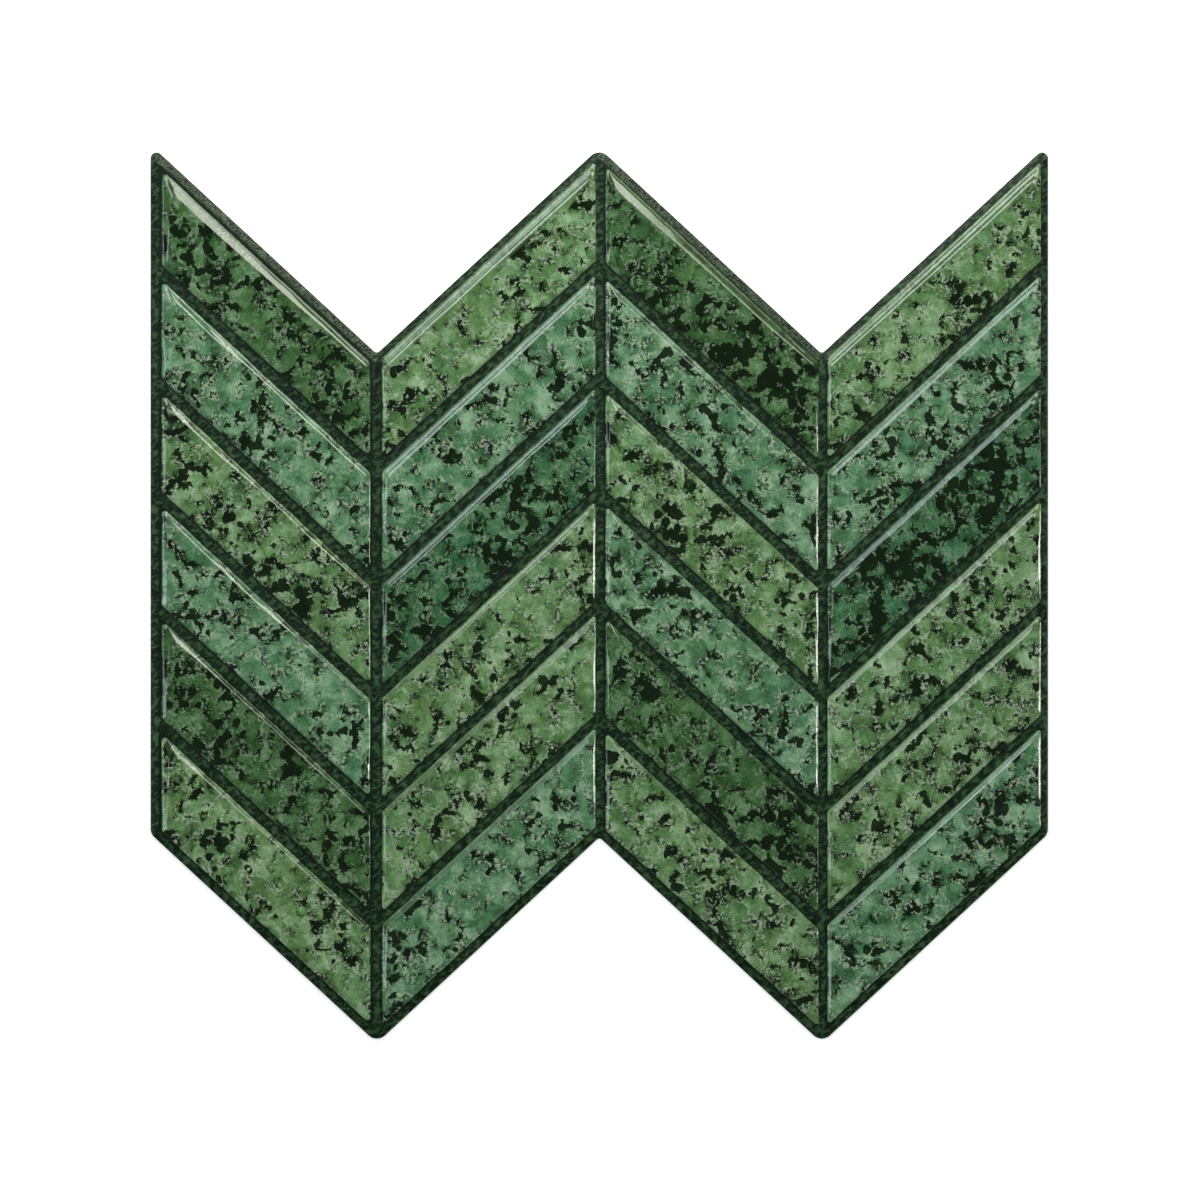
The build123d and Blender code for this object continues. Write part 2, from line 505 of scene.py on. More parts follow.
def gel_pad_surface(settings, row, column):
    """Points, faces and painted glare of one pad: base, rim, dome and crown as rings between two flat
    faces.

    Each ring is level, and is the pad's outline moved in from every side by as much of that side's shoulder
    as reaches its height, with rounder corners further in, then on over the crown. Slow noise widens and
    narrows the shoulders, which also taper along the upper side and down the left end. Fast noise moves the
    rim, and slow waves lift the crown. The painted glare is 1 on the steep of the upper shoulder, where the
    print gives way to plain green in place of the highlights washing it out.
    """
    seed = row * 10 + column
    side = lean(column)
    widths, levels, spreads, ripples, kicks = pad_shoulders(settings, row, column)
    pointed = np.array((settings.sharp_radius, settings.blunt_radius))
    corner_radii = np.tile(pointed if side > 0 else pointed[::-1], 2)

    rise = np.interp(DOME_STEPS, *shoulder_heights(END_LEVEL, 0, LOW_KICK, 0))
    shoulders = zip(levels, ripples, kicks, widths / RIPPLE_PITCH)
    profiles = [shoulder_heights(*shoulder) for shoulder in shoulders]
    shares = np.stack([np.interp(rise, height, grid) for grid, height in profiles], axis=-1)
    dome_insets = widths * shares - spreads
    crown_insets = dome_insets[-1] + CROWN_STEPS[:, None] * (PAD_DEPTH / 2 - dome_insets[-1])
    insets = np.concatenate((dome_insets[:1], dome_insets, crown_insets))
    crown = np.ones(len(CROWN_STEPS))
    share = np.concatenate(((0,), DOME_STEPS, crown))
    lift = np.concatenate(((0,), rise, crown))
    depth = insets.mean(axis=1)
    rings, inward = rounded_rings(side, insets, corner_radii + CORNER_GROWTH * depth[:, None])

    rim = rings[0].T
    rim_x, rim_y = rim
    fast = lattice_noise(*rim / RIM_NOISE, seed)
    fast = fast + FINE_RIM_SHARE * lattice_noise(*rim / FINE_RIM_NOISE, seed + 100)
    slow = WIDTH_SHARE * lattice_noise(*rim / WIDTH_NOISE, seed + 200)
    tapers = TOP_TAPER if row == 1 else LOW_TAPER
    slow = slow - settings.upper_taper * tapers[column - 1] * rim_x / (PAD_WIDTH / 2)
    climb = (rim_y - side * RISE * rim_x) / (PAD_RISE / 2)
    slow = slow + settings.left_taper * climb * np.clip(inward[:, 0], 0, 1) ** LEFT_FOCUS
    stray = settings.rim_wobble * fast * (1 - share)[:, None]
    widen = slow * depth[:, None] * np.sin(math.pi * share)[:, None]
    rings = rings + inward * (stray + widen)[..., None]

    x, y = rings[..., 0], rings[..., 1]
    dome = PAD_HEIGHT - settings.crown_wave - settings.rim_height
    height = settings.rim_height + dome * lift
    height[0] = 0
    waves = lattice_noise(x / CROWN_NOISE, y / CROWN_NOISE, seed + 300)
    z = height[:, None] + settings.crown_wave * waves * ease(share, CROWN_FROM, 1)[:, None]

    ring_count, ring_size = x.shape
    points = np.stack((x, y, z), axis=-1).reshape(-1, 3)
    points = points + PAD_CENTRES[row, column] * (1, 1, 0) + (0, 0, SHEET_TOP)
    faces = ring_faces(ring_count, ring_size)
    faces.append(np.arange(ring_size)[::-1].tolist())
    faces.append(np.arange((ring_count - 1) * ring_size, ring_count * ring_size).tolist())
    # Painted glare: plain green in place of the print on the steep of the upper shoulders, where highlights
    # fall
    strength = 1 if side > 0 or row == 1 else FALLING_GLARE
    steepness = 1 - ease(lift, *GLARE_END)
    calm = strength * steepness[:, None] * np.clip(-UPPER_GAIN * inward[:, 1], 0, 1)
    return points, faces, calm.ravel()


PRINT_SHIFT = np.array((23.7, 17.3))  # from one column's or row's stretch of the print to the next, in cm


def lay_print(piece, row, column):
    """UV map in centimetres across the pad, moved to a stretch of the print that no other pad shows."""
    mesh = piece.data
    co = np.empty(len(mesh.vertices) * 3)
    mesh.vertices.foreach_get("co", co)
    local = (co.reshape(-1, 3)[:, :2] - PAD_CENTRES[row, column][:2]) / CM + PRINT_SHIFT * (column, row)
    loops = np.empty(len(mesh.loops), dtype=np.int32)
    mesh.loops.foreach_get("vertex_index", loops)
    print_map = mesh.uv_layers.new(name="print")
    print_map.data.foreach_set("uv", local[loops].ravel())


# Base sheet

WRINKLE_TURN = math.radians(25)  # how far the grain's wrinkles climb to the right
WRINKLE_STRETCH = 2.2  # length of a wrinkle's pebbles in their widths
WRINKLE_BEND = 0.6  # how far slow noise bends the wrinkles, in the same widths
BEND_ALONG = 0.3  # share of that bend along the wrinkles
WRINKLE_CONTRAST = 1.5
WRINKLE_SINK = 0.35  # widens the valleys between wrinkles
FINE_GRAIN = (0.6, 0.45)  # width and height of the finer noise, in the same widths
FINE_GRAIN_SHARE = 0.3
GRAIN_FADE = 0.6 * MM  # from a pad's edge to the full grain
MID_GRAIN = 0.5  # height of the grain that counts as level
PAD_OVERLAP = 0.8 * MM  # how far the fine mesh goes in under a pad
FINE_CELLS = (6, 3)  # cells of the outermost bands of the grid, across and up
# Rings across the border, closer together at the cut edge
BORDER_STEPS = np.array((0.12, 0.25, 0.38, 0.5, 0.58, 0.66, 0.74, 0.82, 0.89, 0.95, 0.985, 1))
EDGE_TURN = 6  # power by which the border turns down at its cut edge
SHEEN_FROM = 0.2  # share of the sheet's shoulder from which its painted sheen is full
HAIR = 1e-9  # less than any cell of the mesh


def zigzag(x):
    """Height of the chevron at x: a triangle wave with its peaks at the middle and the two sides."""
    return RISE * (np.abs(np.abs(x) - COLUMN_PITCH) - COLUMN_PITCH / 2)


def cut_edge(settings, x, is_upper):
    """Height of the sheet's upper or lower cut edge at x: the zigzag, with an arc at each corner."""
    across = np.abs(x)
    sign = 1 if is_upper else -1
    height = zigzag(across) + sign * EDGE_RISE
    peak_radius = settings.tip_radius if is_upper else settings.notch_radius
    valley_radius = settings.notch_radius if is_upper else settings.tip_radius
    for fold, bend, radius in ((0, 1, peak_radius), (COLUMN_PITCH, -1, valley_radius)):
        gap = across - fold
        corner = zigzag(np.array(fold)) + sign * EDGE_RISE
        arc = corner - bend * (radius / SLANT_COS - np.sqrt(np.clip(radius**2 - gap**2, 0, None)))
        height = np.where(np.abs(gap) < radius * math.sin(SLANT), arc, height)
    radius = settings.sharp_side_radius if is_upper else settings.blunt_side_radius
    middle = SHEET_REACH - radius
    centre = zigzag(np.array(middle)) + sign * EDGE_RISE - sign * radius / SLANT_COS
    arc = centre + sign * np.sqrt(np.clip(radius**2 - (across - middle) ** 2, 0, None))
    return np.where(across > middle - sign * radius * math.sin(SLANT), arc, height)


def banded_lines(edges, step, fine_end):
    """Grid lines through `edges`, evenly spaced between them by about `step`, crowding towards both ends.

    The cell widths of the first and last band fall as a cosine does, down to the outline's corners.
    """
    lines = []
    for band, (start, end) in enumerate(zip(edges[:-1], edges[1:])):
        count = max(2, round((end - start) / step))
        if band == 0:
            share = 1 - np.cos(np.linspace(0, math.pi / 2, fine_end + 1))
        elif band == len(edges) - 2:
            share = np.sin(np.linspace(0, math.pi / 2, fine_end + 1))
        else:
            share = np.linspace(0, 1, count + 1)
        lines.append((start + (end - start) * share)[:-1])
    lines.append(np.array(edges[-1:]))
    return np.concatenate(lines)


def hidden_bands(pitch, count, span, margin):
    """Start and end of each stretch under a row or column of pads, shorter than them by two margins."""
    centres = (np.arange(count) - (count - 1) / 2) * pitch
    half = span / 2 - margin
    return np.stack((centres - half, centres + half), axis=-1)


def bareness(x, climb):
    """How far outside the nearest pad a point of the sheared sheet lies, negative under a pad."""
    columns = hidden_bands(COLUMN_PITCH, COLUMNS, PAD_WIDTH, 0)
    rows = hidden_bands(ROW_PITCH, ROWS, PAD_RISE, 0)
    beside = np.min([np.maximum(low - x, x - high) for low, high in columns], axis=0)
    between = np.min([np.maximum(low - climb, climb - high) for low, high in rows], axis=0)
    return np.maximum(beside, between * SLANT_COS)


def pressed_grain(settings, x, y):
    """Leathery relief from 0 to 1: short wrinkles that climb a little to the right.

    Pebbles on a lattice that is turned and drawn out along the wrinkles and bent by slow noise, plus finer
    noise.
    """
    pitch = settings.grain_pitch
    along = (x * math.cos(WRINKLE_TURN) + y * math.sin(WRINKLE_TURN)) / (WRINKLE_STRETCH * pitch)
    across = (y * math.cos(WRINKLE_TURN) - x * math.sin(WRINKLE_TURN)) / pitch
    bend = WRINKLE_BEND * lattice_noise(along, across / 2, 7)
    wrinkles = pebbles(along + BEND_ALONG * bend, across + bend, 3)
    fine = lattice_noise(x / (FINE_GRAIN[0] * pitch), y / (FINE_GRAIN[1] * pitch), 5)
    grain = WRINKLE_CONTRAST * (1 - wrinkles) - WRINKLE_SINK + FINE_GRAIN_SHARE * fine
    return np.clip(grain, 0, 1)


def base_sheet_surface(settings):
    """Points, faces, grain and painted sheen of the sheet: a grid that leans with the chevron, and a ring.

    Inside the pads' outer edges a point is at (x, climb + zigzag at x). Round that, the ring's points run
    from the grid's edge to the rounded outline. The face is level, falls along the border by an even bevel
    that turns down at the cut edge, and has the pressed grain wherever no pad covers it. A cut wall and a
    flat back close it, and one flat face lies under each pad. The upper falling edges carry a painted
    sheen, a pale colour in place of the lamps' sheen on their shoulders.
    """
    columns = hidden_bands(COLUMN_PITCH, COLUMNS, PAD_WIDTH, PAD_OVERLAP)
    rows = hidden_bands(ROW_PITCH, ROWS, PAD_RISE, PAD_OVERLAP / SLANT_COS)
    x_edges = np.concatenate(((-PAD_REACH,), columns.ravel(), (PAD_REACH,)))
    y_edges = np.concatenate(((-FIELD_RISE,), rows.ravel(), (FIELD_RISE,)))
    x_lines = banded_lines(x_edges, settings.mesh_step, FINE_CELLS[0])
    y_lines = banded_lines(y_edges, settings.mesh_step, FINE_CELLS[1])
    x, climb = np.meshgrid(x_lines, y_lines)
    index = np.arange(x.size).reshape(x.shape)

    # Inner grid, with one flat face for the cells under each pad
    quads = np.stack((index[:-1, :-1], index[:-1, 1:], index[1:, 1:], index[1:, :-1]), axis=-1)
    is_bare = np.ones(quads.shape[:2], dtype=bool)
    covered = []
    for low_x, high_x in columns:
        first, last = np.searchsorted(x_lines, (low_x - HAIR, high_x - HAIR))
        for low_y, high_y in rows:
            bottom, top = np.searchsorted(y_lines, (low_y - HAIR, high_y - HAIR))
            is_bare[bottom:top, first:last] = False
            rim = (index[bottom, first:last], index[bottom:top, last])
            rim += (index[top, last:first:-1], index[top:bottom:-1, first])
            covered.append(np.concatenate(rim))

    # Ring from the grid's edge out to the cut edge
    loop = np.concatenate((index[0, :-1], index[:-1, -1], index[-1, :0:-1], index[:0:-1, 0]))
    inner = np.stack((x, climb + zigzag(x)), axis=-1).reshape(-1, 2)
    edge_x = x_lines * SHEET_REACH / PAD_REACH
    below = np.stack((edge_x, cut_edge(settings, edge_x, False)), axis=-1)
    above = np.stack((edge_x, cut_edge(settings, edge_x, True)), axis=-1)
    share = ((y_lines - y_lines[0]) / (y_lines[-1] - y_lines[0]))[:, None]
    right = below[-1] + (above[-1] - below[-1]) * share
    left = below[0] + (above[0] - below[0]) * share
    outline = np.concatenate((below[:-1], right[:-1], above[:0:-1], left[:0:-1]))
    ring = inner[loop] + (outline - inner[loop]) * BORDER_STEPS[:, None, None]

    # Heights
    ring_x = ring[..., 0]
    ring_climb = ring[..., 1] - zigzag(ring_x)
    all_x = np.concatenate((x.ravel(), ring_x.ravel()))
    all_climb = np.concatenate((climb.ravel(), ring_climb.ravel()))
    all_y = np.concatenate((inner[:, 1], ring[..., 1].ravel()))
    grain = pressed_grain(settings, all_x, all_y) * ease(bareness(all_x, all_climb), 0, GRAIN_FADE)
    lift = settings.grain_depth * (grain - MID_GRAIN)
    border_ways = np.repeat((1 - BORDER_STEPS) * BORDER, len(loop))
    distance = np.concatenate((np.full(x.size, BORDER), border_ways))
    turned = np.clip(1 - distance / settings.shoulder_width, 0, 1)
    fall = settings.shoulder_drop * (turned + turned**EDGE_TURN) / 2
    z = SHEET_TOP - settings.grain_depth / 2 + lift - fall
    grain = np.concatenate((grain, np.full(len(loop), MID_GRAIN)))
    # Painted sheen on the shoulders of the upper falling edges, which face the lamps
    is_sheen_edge = (all_climb > FIELD_RISE) & (np.floor(all_x / COLUMN_PITCH) % 2 == 0)
    rubbed = np.concatenate((ease(turned, 0, SHEEN_FROM) * is_sheen_edge, np.zeros(len(loop))))

    # Cut wall and back
    wall = np.concatenate((ring[-1], np.full((len(loop), 1), SHEET_LOW[2])), axis=1)
    points = np.concatenate((np.stack((all_x, all_y, z), axis=-1), wall))
    outer = x.size + np.arange((len(BORDER_STEPS) + 1) * len(loop)).reshape(-1, len(loop))
    rings = np.concatenate((loop[None], outer))
    following = np.roll(rings, -1, axis=1)
    sides = np.stack((rings[:-1], rings[1:], following[1:], following[:-1]), axis=-1)
    quads = np.concatenate((quads[is_bare], sides.reshape(-1, 4)))
    back = rings[-1][::-1]

    # Points that no face uses, under the pads, are left out
    used = np.zeros(len(points), dtype=bool)
    used[np.concatenate((quads.ravel(), *covered, back))] = True
    number = np.cumsum(used) - 1
    faces = [number[face].tolist() for face in covered]
    faces += number[quads].tolist()
    faces.append(number[back].tolist())
    return points[used], faces, grain[used], rubbed[used]


# Materials


class NodeBench:
    """Adds nodes to one tree, with values or other nodes' outputs given to their sockets."""

    def __init__(self, tree):
        self.tree = tree
        tree.nodes.clear()

    def feed(self, socket, value):
        """Links an output to a socket, or sets the socket's own value."""
        if isinstance(value, bpy.types.NodeSocket):
            self.tree.links.new(value, socket)
        elif isinstance(value, (tuple, list)) and socket.type == "RGBA":
            socket.default_value = (*value[:3], 1)
        else:
            socket.default_value = value

    def add(self, kind, inputs, **settings):
        """A node of one kind, with its settings and its inputs by name or number."""
        node = self.tree.nodes.new(kind)
        for name, value in settings.items():
            setattr(node, name, value)
        for name, value in inputs.items():
            self.feed(node.inputs[name], value)
        return node

    def attribute(self, name):
        """Numbers that a piece keeps for its points."""
        return self.add("ShaderNodeAttribute", {}, attribute_name=name).outputs["Fac"]

    def show(self, shader):
        """Makes a shader the material's surface."""
        self.add("ShaderNodeOutputMaterial", {"Surface": shader.outputs[0]})

    def math(self, operation, first, second=0.0, third=0.0):
        """Result of one operation on numbers."""
        node = self.add("ShaderNodeMath", {0: first, 1: second, 2: third}, operation=operation)
        return node.outputs[0]

    def shift(self, vector, direction, amount):
        """A place moved by a share of a colour that is centred on mid grey."""
        centred = self.add("ShaderNodeVectorMath", {0: direction, 1: (0.5, 0.5, 0.5)}, operation="SUBTRACT")
        inputs = {0: centred.outputs[0], 1: (amount, amount, amount), 2: vector}
        return self.add("ShaderNodeVectorMath", inputs, operation="MULTIPLY_ADD").outputs[0]

    def noise(self, vector, size, detail=2.0, roughness=0.5, output="Fac"):
        """Flat noise with features about `size` across, in the units of the place."""
        inputs = {"Vector": vector, "Scale": 1 / size, "Detail": detail, "Roughness": roughness}
        return self.add("ShaderNodeTexNoise", inputs, noise_dimensions="2D").outputs[output]

    def cells(self, vector, size, feature="F1"):
        """Angular cells about `size` across."""
        inputs = {"Vector": vector, "Scale": 1 / size}
        return self.add("ShaderNodeTexVoronoi", inputs, voronoi_dimensions="2D", feature=feature)

    def cell_values(self, vector, size):
        """Three random values for each of those cells."""
        colour = self.cells(vector, size).outputs["Color"]
        return self.add("ShaderNodeSeparateColor", {0: colour}).outputs

    def sum_of(self, start, *terms):
        """A start value plus weighted fields, each centred on one half."""
        total = start - sum(weight for _, weight in terms) / 2
        for field, weight in terms:
            total = self.math("MULTIPLY_ADD", field, weight, total)
        return total

    def step(self, value, low, high, bottom=0.0, top=1.0):
        """Smooth step of a value from `low` to `high`."""
        inputs = {"Value": value, "From Min": low, "From Max": high, "To Min": bottom, "To Max": top}
        node = self.add("ShaderNodeMapRange", inputs, interpolation_type="SMOOTHSTEP")
        return node.outputs["Result"]

    def mix(self, share, first, second, blend="MIX"):
        """Mix of two colours."""
        inputs = {0: share, 6: first, 7: second}
        node = self.add("ShaderNodeMix", inputs, data_type="RGBA", blend_type=blend)
        return node.outputs[2]


def new_group(name, inputs, outputs):
    """An empty shader node group with named sockets, and the bench that fills it."""
    tree = bpy.data.node_groups.new(name, "ShaderNodeTree")
    for socket, kind in inputs:
        tree.interface.new_socket(socket, in_out="INPUT", socket_type=kind)
    for socket, kind in outputs:
        tree.interface.new_socket(socket, in_out="OUTPUT", socket_type=kind)
    bench = NodeBench(tree)
    return tree, bench, bench.add("NodeGroupInput", {}).outputs


def new_material(name):
    """An empty material, and the bench that fills it."""
    material = bpy.data.materials.new(name)
    material.use_nodes = True
    return material, NodeBench(material.node_tree)


# Sizes in the stone print, in centimetres
ISLAND = 0.8  # green islands between the seams
SCRAP = 0.28  # patches in an island
CHIP = 0.09  # patches in a scrap
GRAIN_CELL = 0.42  # cells that hold one round dark grain at most

# Settings of each shade by name, its crumbs' setting, and its levels of flecks, grains and veils
STONES = {
    "gel_olive": ("olive", "pale_crumb", 0.615, 0.86, 0.2),
    "gel_sea": ("sea", "pale_crumb", 0.615, 0.86, 0.2),
    "gel_forest": ("forest", "dim_crumb", 0.57, 0.76, 0.12),
    "gel_emerald": ("emerald", "dim_crumb", 0.57, 0.76, 0.18),
}
GEL_IOR = 1.5
GLARE_SHARE = 0.65  # how far the print gives way to plain green in its painted glare

# Vinyl and paper
SKIN_GRAIN = 0.45 * MM
SKIN_DEPTH = 0.06 * MM
SKIN_STRETCH = 3  # along the wrinkles
SHEET_CLOUD = 5 * MM
FIBRE = 1.2 * MM
FIBRE_DEPTH = 0.02 * MM
FIBRE_STRETCH = 4


def stone_print_group():
    """Print of a flecked green stone, on a place in centimetres.

    The stone is broken into rounded green islands by the seams between large cells. Dark flecks fill the
    places where a ragged noise is high, the more so along the seams and in slow clusters, and round dark
    grains lie among them. Near the flecks the green turns dull and carries pale crumbs. A tone from dark
    fleck through green to pale crumb is summed from all these with clouds and grit, and the greens drift a
    little between two hues.
    """
    colours = ("Green", "Second Green", "Dull Green", "Fleck", "Crumb")
    levels = ("Fleck Level", "Grain Level", "Veil")
    inputs = [("Place", "NodeSocketVector")]
    inputs += [(name, "NodeSocketColor") for name in colours]
    inputs += [(name, "NodeSocketFloat") for name in levels]
    tree, bench, given = new_group("stone_print", inputs, [("Color", "NodeSocketColor")])
    place = given["Place"]
    bent = bench.shift(place, bench.noise(place, 0.45, output="Color"), 0.25)
    torn = bench.shift(bent, bench.noise(place, 0.07, roughness=0.6, output="Color"), 0.05)

    # Green islands, clouds and grit
    island = bench.cell_values(torn, ISLAND)
    scrap = bench.cell_values(torn, SCRAP)
    chip = bench.cell_values(torn, CHIP)
    cloud = bench.noise(torn, 0.7, detail=6.0, roughness=0.66)
    grit = bench.noise(place, 0.04, roughness=0.8)
    fields = (island[0], 0.26), (scrap[0], 0.1), (chip[0], 0.08), (cloud, 1.15), (grit, 0.8)
    tone = bench.sum_of(0.485, *fields)

    # Dark flecks along the seams and round dark grains, both in clusters, and specks near them
    seam = bench.cells(torn, ISLAND, "DISTANCE_TO_EDGE").outputs["Distance"]
    clusters = bench.noise(place, 1.2)
    regions = bench.noise(place, 4.5, detail=1.0)
    crowd = bench.sum_of(0.0, (clusters, 1.1), (regions, 0.55))
    ragged = bench.noise(torn, 0.45, detail=4.0, roughness=0.58)
    along = bench.step(seam, 0.0, 0.25, bottom=0.05, top=-0.04)
    above = bench.math("ADD", bench.math("MULTIPLY_ADD", crowd, 0.4, ragged), along)
    above = bench.math("SUBTRACT", above, given["Fleck Level"])
    flecks = bench.step(above, -0.014, 0.026)
    lump = bench.cells(torn, GRAIN_CELL)
    lump_pick = bench.add("ShaderNodeSeparateColor", {0: lump.outputs["Color"]}).outputs[2]
    lump_pick = bench.math("MULTIPLY_ADD", crowd, 0.9, lump_pick)
    lump_size = bench.math("MULTIPLY", bench.math("SUBTRACT", lump_pick, given["Grain Level"]), 1.6)
    lump_size = bench.math("MINIMUM", lump_size, 0.42)
    grains = bench.step(bench.math("SUBTRACT", lump_size, lump.outputs["Distance"]), -0.03, 0.05)
    dust = bench.noise(torn, 0.085, detail=1.0)
    specks = bench.step(bench.math("MULTIPLY_ADD", above, 0.7, dust), 0.66, 0.71)
    dark = bench.math("MAXIMUM", bench.math("MAXIMUM", flecks, specks), grains)

    # Dull green and pale crumbs close to the flecks, veins between islands, and veils
    near = bench.step(above, -0.22, -0.01)
    crumb_pick = bench.noise(torn, 0.11, roughness=0.6)
    crumb_bed = bench.noise(place, 0.6, detail=1.0)
    crumb_level = bench.sum_of(0.5, (crumb_pick, 1.0), (crumb_bed, 0.45))
    crumbs = bench.step(crumb_level, 0.52, 0.64)
    crumbs = bench.math("MULTIPLY", bench.step(above, -0.26, -0.06), crumbs)
    veins = bench.step(bench.noise(place, 0.6), 0.46, 0.62)
    veins = bench.math("MULTIPLY", bench.step(seam, 0.0, 0.08, bottom=1.0, top=0.0), veins)
    veins = bench.math("MULTIPLY", veins, bench.step(crumb_pick, 0.35, 0.6))
    veil = bench.step(bench.noise(torn, 0.8, detail=3.0, roughness=0.6), 0.5, 0.68)
    veil = bench.math("MULTIPLY", veil, given["Veil"])
    pale = bench.math("MAXIMUM", crumbs, veins)
    tone = bench.math("ADD", veil, tone)
    dim = bench.math("MULTIPLY", near, bench.step(cloud, 0.42, 0.6, bottom=0.4, top=0.0))
    tone = bench.math("SUBTRACT", tone, dim)
    tone = bench.math("MULTIPLY", tone, bench.step(dark, 0.0, 1.0, bottom=1.0, top=0.05))

    # Colour of each tone
    drift = bench.sum_of(0.5, (island[1], 0.45), (scrap[1], 0.25), (clusters, 0.5))
    green = bench.mix(drift, given["Green"], given["Second Green"])
    green = bench.mix(bench.math("MULTIPLY", near, 0.5), green, given["Dull Green"])
    light_green = bench.mix(1.0, green, (2.1, 2.0, 2.2), "MULTIPLY")
    light_green = bench.mix(0.55, light_green, given["Crumb"])
    rise = bench.add("ShaderNodeMapRange", {"Value": tone, "From Max": 0.5}).outputs["Result"]
    paling = bench.add("ShaderNodeMapRange", {"Value": tone, "From Min": 0.5}).outputs["Result"]
    stone = bench.mix(paling, bench.mix(rise, given["Fleck"], green), light_green)
    pale = bench.math("MULTIPLY", pale, bench.step(dark, 0.0, 1.0, bottom=0.7, top=0.0))
    stone = bench.mix(pale, stone, given["Crumb"])
    bench.add("NodeGroupOutput", {"Color": stone})
    return tree


def gel_material(name, group, values, roughness):
    """Clear glossy gel over one shade of the stone print, with painted glare: plain green under the upper
    shoulder.
    """
    material, bench = new_material(name)
    place = bench.add("ShaderNodeUVMap", {}, uv_map="print").outputs["UV"]
    stone = bench.add("ShaderNodeGroup", {"Place": place, **values}, node_tree=group)
    # Painted glare: the print gives way to dull green where the upper shoulders' highlights fall
    calm = bench.math("MULTIPLY", bench.attribute("calm"), GLARE_SHARE)
    colour = bench.mix(calm, stone.outputs["Color"], values["Dull Green"])
    inputs = {"Base Color": colour, "Roughness": roughness, "IOR": GEL_IOR}
    bench.show(bench.add("ShaderNodeBsdfPrincipled", inputs))
    return material


def gel_materials(look):
    """The four shades of gel by slot name, each with its own greens and amount of flecks."""
    group = stone_print_group()
    finishes = {}
    for slot, (stone, crumb, fleck_level, grain_level, veil) in STONES.items():
        colours = {
            "Green": stone,
            "Second Green": f"{stone}_drift",
            "Dull Green": f"{stone}_dull",
            "Fleck": "fleck",
            "Crumb": crumb,
        }
        values = {socket: tuple(getattr(look, setting)) for socket, setting in colours.items()}
        values |= {"Fleck Level": fleck_level, "Grain Level": grain_level, "Veil": veil}
        finishes[slot] = gel_material(slot, group, values, look.gloss)
    return finishes


def vinyl_material(settings):
    """Dark matt vinyl with a fine skin, painted shade in its grain's valleys and painted highlights on
    ridges and edges.
    """
    material, bench = new_material("grained_vinyl")
    place = bench.add("ShaderNodeTexCoord", {}).outputs["Object"]
    inputs = {"Vector": place, "Rotation": (0, 0, WRINKLE_TURN), "Scale": (SKIN_STRETCH, 1, 1)}
    drawn_out = bench.add("ShaderNodeMapping", inputs, vector_type="TEXTURE").outputs[0]
    skin = bench.noise(drawn_out, SKIN_GRAIN, detail=3.0, roughness=0.7)
    cloud = bench.noise(place, SHEET_CLOUD)
    # Painted shade and highlight: darker where the grain and skin are low, paler where they are high, with
    # random clouds on top
    lit_ridge = bench.sum_of(0.54, (bench.attribute("grain"), 1.3), (skin, 1.9), (cloud, 0.6))
    colour = bench.mix(lit_ridge, tuple(settings.shaded_valley), tuple(settings.lit_ridge))
    # Painted sheen: pale colour on the upper falling edges' shoulder, more where the skin is high
    rubbed = bench.math("MULTIPLY", bench.attribute("rubbed"), bench.step(skin, 0.4, 0.65, top=0.3))
    colour = bench.mix(rubbed, colour, tuple(settings.rubbed))
    bump = bench.add("ShaderNodeBump", {"Strength": 0.6, "Distance": SKIN_DEPTH, "Height": skin})
    inputs = {
        "Base Color": colour,
        "Roughness": bench.step(skin, 0.2, 0.8, bottom=0.28, top=0.4),
        "Normal": bump.outputs[0],
        "Specular IOR Level": 0.12,
    }
    bench.show(bench.add("ShaderNodeBsdfPrincipled", inputs))
    return material


def paper_material(settings):
    """Waxed liner paper with faint fibres."""
    material, bench = new_material("liner_paper")
    place = bench.add("ShaderNodeTexCoord", {}).outputs["Object"]
    inputs = {"Vector": place, "Scale": (1, 1 / FIBRE_STRETCH, 1)}
    stretched = bench.add("ShaderNodeMapping", inputs).outputs[0]
    fibre = bench.noise(stretched, FIBRE, detail=4.0, roughness=0.7)
    shade = bench.step(fibre, 0.3, 0.7, bottom=0.93)
    tint = bench.add("ShaderNodeCombineColor", {0: shade, 1: shade, 2: shade}).outputs[0]
    colour = bench.mix(1.0, tuple(settings.paper), tint, "MULTIPLY")
    bump = bench.add("ShaderNodeBump", {"Strength": 0.2, "Distance": FIBRE_DEPTH, "Height": fibre})
    inputs = {"Base Color": colour, "Roughness": 0.45, "Normal": bump.outputs[0]}
    bench.show(bench.add("ShaderNodeBsdfPrincipled", inputs))
    return material


# Stage

